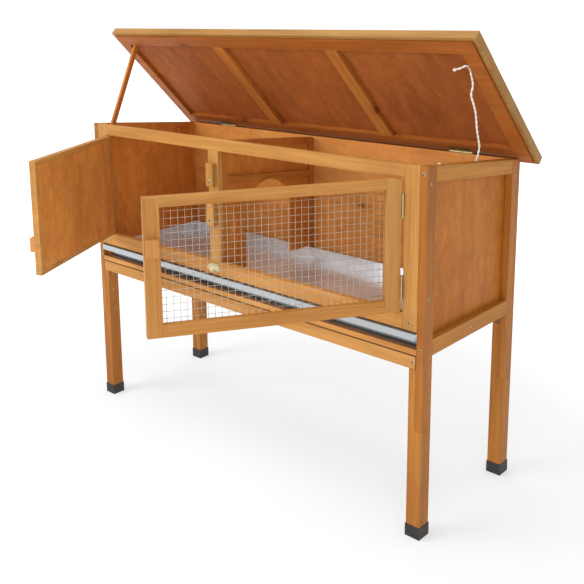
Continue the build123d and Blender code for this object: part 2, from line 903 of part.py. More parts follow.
def plate():
    """Bare oval plate on the sill."""
    centre = (plate_x, front_y, sill_bottom + sill_high / 2)
    on_sill = Plane(origin=centre, x_dir=(1, 0, 0), z_dir=(0, -1, 0))
    return extrude(on_sill * Ellipse(plate_wide / 2, plate_high / 2), amount=plate_thick, dir=(0, -1, 0))


def build_parts():
    parts = {}
    sides = (("left", -1), ("right", 1))
    ends = (("front", -1), ("rear", 1))
    for end_name, end in ends:
        for side_name, side in sides:
            parts[f"{end_name}_{side_name}_post"] = post(side, end)
            parts[f"{end_name}_{side_name}_leg"] = leg(side, end)
    parts["foot_caps"] = [foot_cap(side, end) for _, side in sides for _, end in ends]
    for side_name, side in sides:
        parts[f"{side_name}_top_rail"] = side_top_rail(side)
        parts[f"{side_name}_side_panel"] = side_panel(side)
        parts[f"front_{side_name}_stile"] = front_stile(side)
    parts["side_bottom_rails"] = [side_bottom_rail(side) for _, side in sides]
    parts["front_top_rail"] = front_top_rail()
    parts["mullion"] = mullion()
    parts["sill"] = sill()
    parts["front_tray_rail"] = front_tray_rail()
    parts["front_apron"] = front_apron()
    parts["rear_top_rail"] = rear_top_rail()
    parts["rear_bottom_rail"] = rear_bottom_rail()
    parts["rear_middle_stile"] = rear_middle_stile()
    parts["back_panel"] = back_panel()
    parts["tray_carriers"] = tray_carriers()
    parts["litter_tray"] = tray()
    parts["partition_panel"] = partition_panel()
    parts["partition_battens"] = partition_battens()
    parts["mesh_door_stiles"] = mesh_door_stiles()
    parts["mesh_door_rails"] = mesh_door_rails()
    parts["wire_net"] = wire_net()
    parts["mesh_door_handle"] = handle(mesh_left + handle_edge_inset, mesh_handle_bottom, mesh_place)
    parts["left_door_frame"] = left_door_frame()
    parts["left_door_panel"] = left_door_panel()
    left_handle_x = left_right - handle_edge_inset - handle_wide
    parts["left_door_handle"] = handle(left_handle_x, left_handle_bottom, left_place)
    still = Pos(0, 0, 0)
    frame_leaves = placed_door_leaves(mesh_pin_x, 1, False, still)
    frame_leaves += placed_door_leaves(left_pin_x, -1, False, still)
    parts["door_hinge_frame_leaves"] = frame_leaves
    parts["mesh_door_leaves"] = placed_door_leaves(mesh_pin_x, -1, True, mesh_place)
    parts["left_door_leaves"] = placed_door_leaves(left_pin_x, 1, True, left_place)
    parts["lid_hinge_wall_leaves"] = lid_hinge_leaves(1, False, roof_slope)
    parts["lid_hinge_lid_leaves"] = lid_hinge_leaves(-1, True, lid_open_angle)
    parts["hinge_pins"] = hinge_pins()
    parts["upper_turn_button"] = turn_button(upper_button_z)
    parts["lower_turn_button"] = turn_button(lower_button_z)
    parts["turn_button_screws"] = button_screws()
    parts["lid_frame"] = lid_frame()
    parts["lid_battens"] = lid_battens()
    parts["lid_panel"] = lid_sheet(lid_ply_n, lid_felt_n)
    parts["lid_felt"] = lid_sheet(lid_felt_n, lid_felt_n + felt_thick)
    parts["lid_trim"] = lid_trim()
    parts["prop_stick"] = prop_stick()
    parts["prop_screw"] = prop_screw()
    parts["prop_washer"] = prop_washer()
    parts["stick_rest_block"] = rest_block()
    parts["lid_eye"] = lid_eye()
    parts["wall_eye"] = wall_eye()
    parts["stay_cord"] = stay_cord()
    parts["frame_screws"] = frame_screws()
    parts["sill_plate"] = plate()
    return parts


def open_middle_y(parts):
    """Middle of the open hutch in depth."""
    boxes = [moved(part, Pos(0, 0, 0)).bounding_box() for part in parts.values()]
    return (min(b.min.Y for b in boxes) + max(b.max.Y for b in boxes)) / 2


def main():
    os.makedirs("parts", exist_ok=True)
    parts = build_parts()
    shift = Pos(0, -open_middle_y(parts), 0)
    print("shift along Y", round(-open_middle_y(parts), 3), "nodes", len(parts))
    for name, part in parts.items():
        export_step(moved(part, shift), f"parts/{name}.step")


main()
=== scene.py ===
"""Small animal hutch: finishes, wires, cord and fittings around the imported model."""
import json
import math
import random
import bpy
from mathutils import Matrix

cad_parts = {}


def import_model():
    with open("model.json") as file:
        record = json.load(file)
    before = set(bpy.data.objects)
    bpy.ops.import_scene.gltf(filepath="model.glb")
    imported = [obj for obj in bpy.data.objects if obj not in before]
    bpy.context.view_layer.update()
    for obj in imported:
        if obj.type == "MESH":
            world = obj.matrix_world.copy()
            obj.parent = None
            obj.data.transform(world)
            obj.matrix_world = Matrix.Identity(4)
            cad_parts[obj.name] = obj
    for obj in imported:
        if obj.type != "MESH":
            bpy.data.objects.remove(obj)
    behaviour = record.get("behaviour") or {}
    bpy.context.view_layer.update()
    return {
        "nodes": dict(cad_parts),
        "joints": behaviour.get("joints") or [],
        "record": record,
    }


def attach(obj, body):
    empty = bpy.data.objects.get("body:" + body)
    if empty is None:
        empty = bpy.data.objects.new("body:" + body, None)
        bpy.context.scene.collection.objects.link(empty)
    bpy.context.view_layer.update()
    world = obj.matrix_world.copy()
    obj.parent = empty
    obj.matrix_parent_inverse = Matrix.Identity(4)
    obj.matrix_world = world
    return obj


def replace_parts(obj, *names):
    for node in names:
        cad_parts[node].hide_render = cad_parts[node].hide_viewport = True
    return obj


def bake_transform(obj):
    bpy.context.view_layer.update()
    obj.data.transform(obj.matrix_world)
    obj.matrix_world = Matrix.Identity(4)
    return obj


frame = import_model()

import zlib

import bmesh
import bpy
from mathutils import Matrix, Vector

joints = {j["name"]: j for j in frame["joints"]}
body_of_node = {n: b for b, ns in frame["record"]["behaviour"]["bodies"].items() for n in ns}
MM = 0.001

# Camera: worked out from the photograph's straight edges
IMAGE = 584
FOCAL_PX = 866.24
CENTRE_PX = (213.48, 173.60)
YAW, PITCH, ROLL = 0.7965, -0.1956, -0.0247
SENSOR_MM = 36.0
CAMERA_X = 1.54272
CAMERA_Z = 1.22612
CAMERA_Y_TO_LID_PIN = -1.99520


# Node graphs
class Graph:
    """A material under construction: add() makes a node and fills or links its inputs."""

    def __init__(self, name):
        self.material = bpy.data.materials.new(name)
        self.material.use_nodes = True
        self.tree = self.material.node_tree
        self.shader = self.tree.nodes["Principled BSDF"]
        self.output = self.tree.nodes["Material Output"]

    def fill(self, node, inputs):
        for key, value in inputs.items():
            socket = node.inputs[key]
            if isinstance(value, bpy.types.NodeSocket):
                self.tree.links.new(value, socket)
            elif isinstance(value, (tuple, list)) and len(value) == 3 and socket.type == "RGBA":
                socket.default_value = (*value, 1.0)
            else:
                socket.default_value = value

    def add(self, kind, inputs=None, out=0, **settings):
        node = self.tree.nodes.new("ShaderNode" + kind)
        for key, value in settings.items():
            setattr(node, key, value)
        self.fill(node, inputs or {})
        return node.outputs[out]

    def math(self, operation, a, b=0.0, clamp=False):
        return self.add("Math", {0: a, 1: b}, operation=operation, use_clamp=clamp)

    def stretch(self, vector, scale):
        return self.add("VectorMath", {0: vector, 1: scale}, operation="MULTIPLY")

    def noise(self, vector, scale, detail=4.0, rough=0.55, warp=0.0):
        return self.add("TexNoise", {"Vector": vector, "Scale": scale, "Detail": detail, "Roughness": rough, "Distortion": warp})

    def span(self, value, low, high, to_low=0.0, to_high=1.0):
        return self.add("MapRange", {"Value": value, "From Min": low, "From Max": high, "To Min": to_low, "To Max": to_high})

    def mix(self, factor, a, b, how="MIX"):
        node = self.tree.nodes.new("ShaderNodeMix")
        node.data_type = "RGBA"
        node.blend_type = how
        for socket, value in ((node.inputs[0], factor), (node.inputs[6], a), (node.inputs[7], b)):
            if isinstance(value, bpy.types.NodeSocket):
                self.tree.links.new(value, socket)
            elif isinstance(value, (tuple, list)):
                socket.default_value = (*value, 1.0)
            else:
                socket.default_value = value
        return node.outputs[2]

    def bump(self, height, strength, distance, normal=None):
        inputs = {"Height": height, "Strength": strength, "Distance": distance}
        if normal is not None:
            inputs["Normal"] = normal
        return self.add("Bump", inputs)

    def done(self, **inputs):
        self.fill(self.shader, {key.replace("_", " "): value for key, value in inputs.items()})
        return self.material


def linear(r, g, b):
    """Shader colour of a colour given in 0 to 255 display values."""
    return tuple(((c / 255 + 0.055) / 1.055) ** 2.4 if c > 10 else c / 255 / 12.92 for c in (r, g, b))


RED_STAIN = (0.93, 0.8, 0.66)


def wood(name, light, dark, knot_share, rings, figure, rough=0.46, ply=False):
    """Stained softwood or ply: growth lines, fibres, blotches of stain and knots along the grain."""
    g = Graph(name)
    grain = g.add("Attribute", out=1, attribute_name="grain")
    tint = g.add("Attribute", out=2, attribute_name="tint")
    blotch = g.noise(g.stretch(grain, (3.0, 9.0, 9.0)), 1.0, 3.0)
    drift = g.noise(g.stretch(grain, (1.6, 7.0, 7.0)), 1.0, 2.0)
    wave = g.add("TexWave", {
        "Vector": g.stretch(grain, (rings * (0.2 if ply else 0.045), rings, rings)), "Scale": 1.0,
        "Distortion": figure, "Detail": 2.5, "Detail Scale": 0.7, "Detail Roughness": 0.55,
    }, bands_direction="Y", wave_profile="SAW")
    lines = g.span(wave, 0.25, 1.0)
    fibre = g.noise(g.stretch(grain, (30.0, 520.0, 520.0) if ply else (9.0, 620.0, 620.0)), 1.0, 3.0, 0.7)
    streak = g.noise(g.stretch(grain, (11.0, 26.0, 26.0) if ply else (2.4, 85.0, 85.0)), 1.0, 5.0, 0.6, 0.8)
    shade = g.math("MULTIPLY", lines, 0.1 if ply else 0.36)
    shade = g.math("ADD", shade, g.span(streak, 0.3, 0.75, -0.05, 0.45))
    shade = g.math("ADD", shade, g.span(fibre, 0.3, 0.7, -0.14, 0.24))
    shade = g.math("ADD", shade, g.span(drift, 0.3, 0.7, -0.1, 0.2), clamp=True)
    colour = g.mix(shade, light, dark)
    deep = tuple(c * 0.62 for c in dark)
    colour = g.mix(g.span(blotch, 0.45, 0.8, 0.0, 0.4), colour, deep)
    if ply:
        cloud = g.noise(grain, 38.0, 6.0, 0.65)
        colour = g.mix(g.span(cloud, 0.35, 0.7, 0.0, 0.35), colour, tuple(c * 0.75 for c in dark))
        pores = g.noise(g.stretch(grain, (60.0, 900.0, 900.0)), 1.0, 2.0)
        colour = g.mix(g.span(pores, 0.62, 0.72, 0.0, 0.4), colour, deep)
    patch = g.math("ADD", g.noise(g.stretch(grain, (4.0, 22.0, 22.0)), 1.0, 4.0, 0.6, 0.6), g.math("MULTIPLY", tint, 0.4))
    colour = g.mix(g.span(patch, 0.5, 0.95, 0.0, 1.0), colour, RED_STAIN, "MULTIPLY")
    value = g.span(tint, 0.0, 1.0, 0.96, 1.08)
    colour = g.add("HueSaturation", {"Color": colour, "Value": value, "Hue": 0.5, "Saturation": 1.0})
    height = g.math("ADD", g.math("MULTIPLY", fibre, 0.7), g.math("MULTIPLY", lines, -0.35))
    if knot_share > 0:
        wobble = g.noise(grain, 70.0, 2.0)
        flat = g.stretch(grain, (6.0, 13.0, 1.0))
        around = g.add("CombineXYZ", {0: g.math("MULTIPLY", wobble, 0.08), 1: g.math("MULTIPLY", wobble, -0.06), 2: 0.0})
        spot = g.tree.nodes.new("ShaderNodeTexVoronoi")
        spot.voronoi_dimensions = "2D"
        g.fill(spot, {"Scale": 1.0, "Randomness": 0.85})
        g.tree.links.new(g.add("VectorMath", {0: flat, 1: around}, operation="ADD"), spot.inputs["Vector"])
        picked = g.add("SeparateColor", {"Color": spot.outputs["Color"]})
        chosen = g.math("LESS_THAN", picked, knot_share)
        core = g.math("MULTIPLY", g.span(spot.outputs["Distance"], 0.055, 0.085, 1.0, 0.0), chosen)
        halo = g.math("MULTIPLY", g.span(spot.outputs["Distance"], 0.08, 0.26, 0.55, 0.0), chosen)
        colour = g.mix(halo, colour, tuple(c * 0.75 for c in dark))
        colour = g.mix(core, colour, tuple(c * 0.6 for c in dark))
    return g.done(
        Base_Color=colour, Roughness=g.span(fibre, 0.3, 0.7, rough - 0.06, rough + 0.12),
        Specular_IOR_Level=0.16, Normal=g.bump(height, 0.35, 0.0004)
    )


def metal(name, colour, rough, blotch_scale=60.0, dull=0.25):
    """Plated fittings and wire: uneven shine and dull blotches."""
    g = Graph(name)
    place = g.add("TexCoord", out=3)
    cloud = g.noise(place, blotch_scale, 4.0)
    tone = g.mix(g.span(cloud, 0.35, 0.7, 0.0, dull), colour, tuple(c * 0.55 for c in colour))
    return g.done(
        Base_Color=tone, Metallic=1.0, Roughness=g.span(cloud, 0.3, 0.7, rough - 0.08, rough + 0.12),
        Normal=g.bump(cloud, 0.08, 0.0003)
    )


def sheet_zinc(name, colour):
    """Thin plated sheet: pale, softly shining, a little buckled, with faint rolling marks."""
    g = Graph(name)
    place = g.add("TexCoord", out=3)
    cloud = g.noise(g.stretch(place, (6.0, 11.0, 11.0)), 1.0, 3.0)
    marks = g.noise(g.stretch(place, (9.0, 260.0, 260.0)), 1.0, 3.0, 0.6)
    buckle = g.noise(g.stretch(place, (4.5, 9.0, 9.0)), 1.0, 1.0)
    tone = g.mix(g.span(cloud, 0.35, 0.7, 0.0, 0.3), colour, tuple(c * 0.72 for c in colour))
    tone = g.mix(g.span(marks, 0.4, 0.7, 0.0, 0.12), tone, tuple(c * 0.6 for c in colour))
    normal = g.bump(buckle, 0.5, 0.006, g.bump(marks, 0.04, 0.0003))
    return g.done(
        Base_Color=tone, Metallic=0.6, Roughness=g.span(cloud, 0.3, 0.7, 0.26, 0.36), Normal=normal
    )


def plain_matter(name, colour, rough, scale, strength, speckle=0.25):
    """Plastic, cord or felt: mottled colour with a fine rough surface."""
    g = Graph(name)
    place = g.add("TexCoord", out=3)
    fine = g.noise(place, scale, 5.0, 0.65)
    broad = g.noise(place, scale * 0.04, 3.0)
    tone = g.mix(g.span(fine, 0.35, 0.65, 0.0, speckle), colour, tuple(c * 0.5 for c in colour))
    tone = g.mix(g.span(broad, 0.4, 0.7, 0.0, 0.3), tone, tuple(min(1.0, c * 1.35 + 0.01) for c in colour))
    return g.done(
        Base_Color=tone, Roughness=g.span(fine, 0.3, 0.7, rough - 0.08, rough + 0.08),
        Normal=g.bump(fine, strength, 0.0006)
    )


def slot_painted_shadow(name, front, deep):
    """Brown along the front edge, black with painted shadow further in under the tray's lip."""
    g = Graph(name)
    inward = g.add("SeparateXYZ", {"Vector": g.add("TexCoord", out=0)}, out=1)
    shadow_ragging = g.noise(g.add("TexCoord", out=3), 45.0, 3.0)
    edge = g.math("ADD", inward, g.span(shadow_ragging, 0.3, 0.7, -0.12, 0.12))
    return g.done(Base_Color=g.mix(g.span(edge, 0.3, 0.6), front, deep), Roughness=0.6)


materials = {
    "timber": wood("timber", linear(208, 156, 88), linear(154, 102, 46), 0.1, 95.0, 5.0),
    "post": wood("post", linear(184, 124, 56), linear(138, 82, 29), 0.08, 95.0, 4.0),
    "side_timber": wood("side_timber", linear(196, 142, 64), linear(150, 98, 36), 0.1, 95.0, 4.0),
    "lid_timber": wood("lid_timber", linear(180, 108, 46), linear(136, 74, 24), 0.1, 95.0, 4.0),
    "trim": wood("trim", linear(178, 137, 78), linear(141, 99, 47), 0.12, 95.0, 5.0),
    "batten": wood("batten", linear(200, 130, 60), linear(152, 90, 34), 0.08, 95.0, 4.0),
    "panel": wood("panel", linear(198, 124, 42), linear(150, 84, 20), 0.0, 5.0, 9.0, 0.45, True),
    # lighter copy of the panel ply for the faces seen inside: painted light where the interior is in shade
    "inner_painted_light": wood("inner_painted_light", linear(226, 152, 74), linear(176, 104, 42), 0.0, 5.0, 9.0, 0.45, True),
    "handle": wood("handle", linear(210, 156, 98), linear(166, 114, 64), 0.0, 120.0, 3.0),
    # painted shadow in the slot under the tray's lip: the rail's brown at the front, black further in
    "slot": slot_painted_shadow("slot", linear(158, 98, 50), linear(26, 19, 14)),
    "back": wood("back", linear(236, 164, 88), linear(188, 120, 56), 0.1, 8.0, 8.0, 0.48, True),
    "lid_ply": wood("lid_ply", linear(180, 107, 52), linear(130, 72, 32), 0.0, 5.0, 10.0, 0.62, True),
    # darker copy of the zinc for the tray's front lip: painted shade
    "lip": sheet_zinc("lip", linear(176, 180, 183)),
    # lighter copy of the zinc for the tray's folded corners: painted highlight
    "ear": sheet_zinc("ear", linear(240, 246, 250)),
    "zinc": sheet_zinc("zinc", linear(234, 240, 246)),
    "wire": metal("wire", linear(188, 178, 158), 0.4, 300.0, 0.2),
    "hinge": metal("hinge", linear(184, 166, 128), 0.38, 220.0, 0.4),
    "screw": metal("screw", linear(196, 184, 152), 0.4, 260.0, 0.3),
    "plate": metal("plate", linear(206, 196, 156), 0.3, 160.0, 0.3),
    "cap": plain_matter("cap", linear(34, 31, 28), 0.55, 900.0, 0.25),
    "cord": plain_matter("cord", linear(240, 236, 226), 0.85, 1600.0, 0.6, 0.12),
    "felt": plain_matter("felt", linear(92, 100, 90), 0.9, 1300.0, 1.0, 0.6),
    "seam": plain_matter("seam", linear(96, 54, 24), 0.8, 900.0, 0.2),
    # flat dark colour laid on the crossed recesses of screw and nail heads: painted shade
    "dark": plain_matter("dark", linear(26, 22, 18), 0.8, 900.0, 0.2),
}


# Meshes
def link(name, mesh, material, body):
    obj = bpy.data.objects.new(name, mesh)
    bpy.context.scene.collection.objects.link(obj)
    if material:
        mesh.materials.append(materials[material])
    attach(obj, body)
    return obj


def islands(bm):
    """Lists of vertices that hang together."""
    left = set(bm.verts)
    found = []
    while left:
        stack = [left.pop()]
        part = []
        while stack:
            v = stack.pop()
            part.append(v)
            for e in v.link_edges:
                w = e.other_vert(v)
                if w in left:
                    left.remove(w)
                    stack.append(w)
        found.append(part)
    found.sort(key=lambda vs: tuple(round(c, 4) for c in sum((v.co for v in vs), Vector()) / len(vs)))
    return found


def node_bmesh(node, whole=True):
    """A node's mesh with its corners welded and, unless told otherwise, its flat faces whole."""
    bm = bmesh.new()
    bm.from_mesh(frame["nodes"][node].data)
    bmesh.ops.remove_doubles(bm, verts=bm.verts, dist=1e-5)
    if whole:
        bmesh.ops.dissolve_limit(bm, angle_limit=math.radians(1.0), verts=bm.verts, edges=bm.edges)
    return bm


def board_axes(part, along=None):
    """Grain direction of one board, the way its width runs, and the third direction."""
    edges = {e for v in part for e in v.link_edges}
    runs = sorted(((e.calc_length(), e.verts[1].co - e.verts[0].co) for e in edges), key=lambda r: -r[0])
    a = Vector(along) if along else runs[0][1].normalized()
    if along:
        flat = [r for r in runs if r[0] > 0.02]
        a = max((r[1].normalized() for r in flat), key=lambda d: abs(d.dot(a)))
    b = next((d.normalized() for length, d in runs if abs(d.normalized().dot(a)) < 0.1), a.orthogonal())
    return a, b, a.cross(b).normalized()


# Frames whose boards share corners, so their edges stay crisp
CRISP_BOARDS = ("left_door_frame", "lid_frame", "lid_trim", "rear_top_rail", "partition_battens")


def soften(node, material, edge=0.9 * MM, along=None, segments=2):
    """The CAD board with eased edges, except on the crisp frames, and a grain direction for each board."""
    bm = node_bmesh(node)
    frames = []
    for part in islands(bm):
        a, b, c = board_axes(part, along)
        frames.append((a, b, c, part[0].co.copy()))
    if node in CRISP_BOARDS:
        bm.free()
        bm = node_bmesh(node, whole=False)
    else:
        sharp = [e for e in bm.edges if e.is_manifold and e.calc_face_angle(0) > math.radians(35)]
        bmesh.ops.bevel(bm, geom=sharp, offset=edge, segments=segments, profile=0.5, affect="EDGES",
                        clamp_overlap=True)
    mesh = bpy.data.meshes.new(node + "_eased")
    parts = islands(bm)
    bm.verts.index_update()
    order = {}
    for k, part in enumerate(parts):
        for v in part:
            order[v.index] = k
    bm.to_mesh(mesh)
    rng = random.Random(zlib.crc32(node.encode()))
    shifts = [Vector((rng.uniform(0, 9), rng.uniform(0, 9), rng.uniform(0, 9))) for _ in parts]
    tints = [rng.random() for _ in parts]
    places, shades = [], []
    for v in mesh.vertices:
        k = order[v.index]
        a, b, c, start = frames[min(k, len(frames) - 1)]
        rel = v.co - start
        places.extend(Vector((rel.dot(a), rel.dot(b), rel.dot(c))) + shifts[k])
        shades.append(tints[k])
    mesh.attributes.new("grain", "FLOAT_VECTOR", "POINT").data.foreach_set("vector", places)
    mesh.attributes.new("tint", "FLOAT", "POINT").data.foreach_set("value", shades)
    bm.free()
    mesh.shade_smooth()
    obj = link(node + "_eased", mesh, material, body_of_node[node])
    obj.data.set_sharp_from_angle(angle=math.radians(20))
    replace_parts(obj, node)
    return obj


# Boards whose joints show as dark lines have their edges eased more
JOINT_EDGES = {"front_tray_rail": 1.8 * MM, "front_apron": 1.8 * MM, "sill": 1.4 * MM}


def dress_timber():
    """Every board, rail, panel and block."""
    boards = {
        "post": ["front_left_post", "front_right_post", "rear_left_post", "rear_right_post",
                 "front_left_leg", "front_right_leg", "rear_left_leg", "rear_right_leg"],
        "side_timber": ["left_top_rail", "right_top_rail", "side_bottom_rails", "rear_top_rail",
                        "rear_bottom_rail", "rear_middle_stile", "tray_carriers"],
        "timber": ["front_left_stile", "front_right_stile", "front_top_rail", "mullion", "sill",
                   "front_tray_rail", "front_apron",
                   "mesh_door_stiles", "mesh_door_rails", "left_door_frame", "upper_turn_button",
                   "lower_turn_button"],
        "handle": ["mesh_door_handle", "left_door_handle"],
        "lid_timber": ["lid_frame"],
        "trim": ["lid_trim"],
        "batten": ["lid_battens", "partition_battens", "prop_stick", "stick_rest_block"],
    }
    for material, nodes in boards.items():
        for node in nodes:
            soften(node, material, JOINT_EDGES.get(node, 1.1 * MM))
    # painted shadow on the rail's top under the tray's lip
    paint_slot_shadow(bpy.data.objects["front_tray_rail_eased"].data)
    shade_joint(bpy.data.objects["front_tray_rail_eased"].data, (0, 0, -1))
    shade_joint(bpy.data.objects["front_apron_eased"].data, (0, 0, 1), (1, 0, 0), (-1, 0, 0))
    # the inside panels take the lighter copy of the ply, painted light; the outer side panel keeps the plain ply
    soften("left_side_panel", "inner_painted_light", 0.3 * MM, (0, 0, 1))
    soften("right_side_panel", "panel", 0.3 * MM, (0, 0, 1))
    soften("left_door_panel", "inner_painted_light", 0.3 * MM, (0, 0, 1))
    soften("partition_panel", "inner_painted_light", 0.3 * MM, (0, 0, 1))
    soften("back_panel", "back", 0.3 * MM)
    soften("lid_panel", "lid_ply", 0.3 * MM, (0, 1, 0))


def split_tray(mesh):
    """The lip outside the front gets a darker copy of the zinc than the tray inside: painted shade."""
    front = min(v.co.y for v in mesh.vertices)
    mesh.materials.append(materials["lip"])
    for face in mesh.polygons:
        if face.center.y - front < LIP_REACH:
            face.material_index = 1


LIP_REACH = 20.0 * MM


def paint_slot_shadow(mesh):
    """The rail's top, painted dark with shadow in the slot under the tray's lip."""
    mesh.materials.append(materials["slot"])
    for face in mesh.polygons:
        if face.normal.z > 0.5:
            face.material_index = 1


def shade_joint(mesh, *ways):
    """The eased front edges that face a neighbouring board, dark as the gap between them."""
    mesh.materials.append(materials["seam"])
    for face in mesh.polygons:
        if face.normal.y < -0.2 and max(face.normal.dot(way) for way in ways) > 0.3:
            face.material_index = len(mesh.materials) - 1


def dress_plain_nodes():
    for node, material in {
        "foot_caps": "cap", "litter_tray": "zinc", "door_hinge_frame_leaves": "hinge",
        "mesh_door_leaves": "hinge", "left_door_leaves": "hinge", "lid_hinge_wall_leaves": "hinge",
        "lid_hinge_lid_leaves": "hinge", "hinge_pins": "hinge", "prop_washer": "screw",
        "lid_eye": "screw", "wall_eye": "screw",
        "lid_felt": "felt", "sill_plate": "plate", "frame_screws": "screw", "wire_net": "wire",
        "stay_cord": "cord",
    }.items():
        mesh = frame["nodes"][node].data
        mesh.materials.clear()
        mesh.materials.append(materials[material])
    split_tray(frame["nodes"]["litter_tray"].data)


# Screws
SCREW_R = 3.9 * MM
SCREW_RISE = 1.1 * MM
PIVOT_RISE = 1.8 * MM
SLOT_HALF = 0.95 * MM
LEAF_SCREW_R = 2.9 * MM
LEAF_SCREW_RISE = 0.1 * MM
LEAF_SCREW_IN = 6.5 * MM
LEAF_SCREW_SHARES = (0.22, 0.78)
DOME_RINGS = ((1.0, 0.0), (0.97, 0.32), (0.8, 0.68), (0.5, 0.92), (0.0, 1.0))


def screw_head(bm, at, out, radius, rise, turn):
    """Domed head with a crossed recess, made as a disc of rings with dark slots laid in: the recess is painted shade
    on flat quads, not a hollow.
    """
    side = out.orthogonal().normalized()
    side.rotate(Matrix.Rotation(turn, 3, out))
    other = out.cross(side)
    rings = []
    for share, up in DOME_RINGS[:-1]:
        rings.append([
            bm.verts.new(at + (side * math.cos(t) + other * math.sin(t)) * radius * share + out * rise * up)
            for t in (2 * math.pi * k / 20 for k in range(20))
        ])
    for low, high in zip(rings, rings[1:]):
        for k in range(20):
            bm.faces.new((low[k], low[(k + 1) % 20], high[(k + 1) % 20], high[k]))
    bm.faces.new(rings[-1])
    for a, b in ((side, other), (other, side)):
        long, wide, top = a * radius * 0.7, b * SLOT_HALF, at + out * (rise * 0.94 + 0.02 * MM)
        face = bm.faces.new([bm.verts.new(top + long * i + wide * j) for i, j in ((-1, -1), (1, -1), (1, 1), (-1, 1))])
        face.material_index = 1


def screws(name, places, body, radius=SCREW_R, rise=SCREW_RISE):
    """One piece of several screw heads; places is a list of a seat and the way out of it."""
    rng = random.Random(zlib.crc32(name.encode()))
    bm = bmesh.new()
    for at, out in places:
        screw_head(bm, at, out, radius, rise, rng.uniform(0, math.pi))
    mesh = bpy.data.meshes.new(name)
    bm.to_mesh(mesh)
    bm.free()
    mesh.shade_smooth()
    obj = link(name, mesh, "screw", body)
    # second slot: the dark recess quads, painted shade
    mesh.materials.append(materials["dark"])
    return obj


def node_islands(node):
    bm = bmesh.new()
    bm.from_mesh(frame["nodes"][node].data)
    bmesh.ops.remove_doubles(bm, verts=bm.verts, dist=1e-5)
    found = [[v.co.copy() for v in part] for part in islands(bm)]
    bm.free()
    return found


def frame_screws():
    """Domed heads in place of the plain discs on the posts, the apron and the legs."""
    outer_x = max(v.co.x for v in frame["nodes"]["right_top_rail"].data.vertices)
    places = []
    for part in node_islands("frame_screws"):
        low, high = (Vector(tuple(pick(c[i] for c in part) for i in range(3))) for pick in (min, max))
        middle = (low + high) / 2
        if high.y - low.y < high.x - low.x:
            places.append((Vector((middle.x, high.y, middle.z)), Vector((0, -1, 0))))
        else:
            sign = math.copysign(1, middle.x)
            outward = abs(middle.x) > outer_x
            out = Vector((sign if outward else -sign, 0, 0))
            seat = low.x if out.x > 0 else high.x
            places.append((Vector((seat, middle.y, middle.z)), out))
    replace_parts(screws("frame_screw_heads", places, "root"), "frame_screws")


def pivot_screws():
    """Domed heads on the screws that the turn buttons and the prop stick swing on."""
    for node, out in (("turn_button_screws", Vector((0, -1, 0))), ("prop_screw", Vector((1, 0, 0)))):
        places = []
        for part in node_islands(node):
            low, high = (Vector(tuple(pick(c[i] for c in part) for i in range(3))) for pick in (min, max))
            radius = (high.z - low.z) / 2
            tip = (low + high) / 2 + out * abs((high - low).dot(out)) / 2
            places.append((tip - out * PIVOT_RISE, out))
        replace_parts(screws(node + "_heads", places, body_of_node[node], radius, PIVOT_RISE), node)


def leaf_screws(node):
    """Two countersunk screws in each leaf of a hinge node, on the face towards the pin."""
    bm = bmesh.new()
    bm.from_mesh(frame["nodes"][node].data)
    bmesh.ops.remove_doubles(bm, verts=bm.verts, dist=1e-5)
    places = []
    for part in islands(bm):
        normal = max({f for v in part for f in v.link_faces}, key=lambda f: f.calc_area()).normal.copy()
        pin = Vector((0, 0, 1)) if abs(normal.z) < 0.1 else Vector((1, 0, 0))
        across = normal.cross(pin).normalized()
        reach = [v.co.dot(across) for v in part]
        ends = {}
        for edge, inward in ((min(reach), 1), (max(reach), -1)):
            ends[inward] = (edge, [v.co.dot(normal) for v, r in zip(part, reach) if abs(r - edge) < 0.5 * MM])
        inward = min(ends, key=lambda k: max(ends[k][1]) - min(ends[k][1]))
        edge, plate = ends[inward]
        depth = [v.co.dot(normal) for v in part]
        barrel = (min(depth) + max(depth)) / 2
        faces_back = barrel < sum(plate) / len(plate)
        face = min(plate) if faces_back else max(plate)
        run = [v.co.dot(pin) for v in part]
        for share in LEAF_SCREW_SHARES:
            along = min(run) + (max(run) - min(run)) * share
            at = across * (edge + inward * LEAF_SCREW_IN) + normal * face + pin * along
            places.append((at, -normal if faces_back else normal))
    bm.free()
    return screws(node + "_screws", places, body_of_node[node], LEAF_SCREW_R, LEAF_SCREW_RISE)


# Litter tray, plate and felt
EAR_REACH = 33.0 * MM
EAR_THICK = 0.8 * MM
EAR_RISE = 3.0 * MM


def tray_ears():
    """Folded corners of the sheet tray: a triangle lapped against each end wall inside, in a lighter copy of the zinc
    as a painted highlight.
    """
    verts = [v.co for v in frame["nodes"]["litter_tray"].data.vertices]
    floor_z, top_z = (pick(v.z for v in verts) for pick in (min, max))
    base = [v for v in verts if v.z - floor_z < 0.1 * MM]
    half = max(v.x for v in base)
    front, back = (pick(v.y for v in base) for pick in (min, max))
    bm = bmesh.new()
    for side in (-1, 1):
        for y, inward in ((front, 1), (back, -1)):
            corner_y = y + inward * 2.2 * MM
            outer = side * (half - 2.1 * MM)
            peak = top_z + (EAR_RISE if y == back else -0.5 * MM)
            tip = corner_y + inward * EAR_REACH
            shape = ((corner_y, floor_z + 3 * MM), (corner_y, peak), (tip, top_z - 0.5 * MM))
            rings = [[bm.verts.new((outer - side * t, a, b)) for a, b in shape] for t in (0, EAR_THICK)]
            for k in range(3):
                bm.faces.new((rings[0][k], rings[0][(k + 1) % 3], rings[1][(k + 1) % 3], rings[1][k]))
            bm.faces.new(rings[0])
            bm.faces.new(rings[1])
    bmesh.ops.recalc_face_normals(bm, faces=bm.faces)
    mesh = bpy.data.meshes.new("tray_ears")
    bm.to_mesh(mesh)
    bm.free()
    link("tray_ears", mesh, "ear", "litter_tray")


PLATE_PROFILE = ((1.0, 0.0), (1.0, 0.9), (0.96, 1.4), (0.9, 1.4), (0.86, 0.8), (0.0, 1.0))
PLATE_PIN_SHARE = 0.72


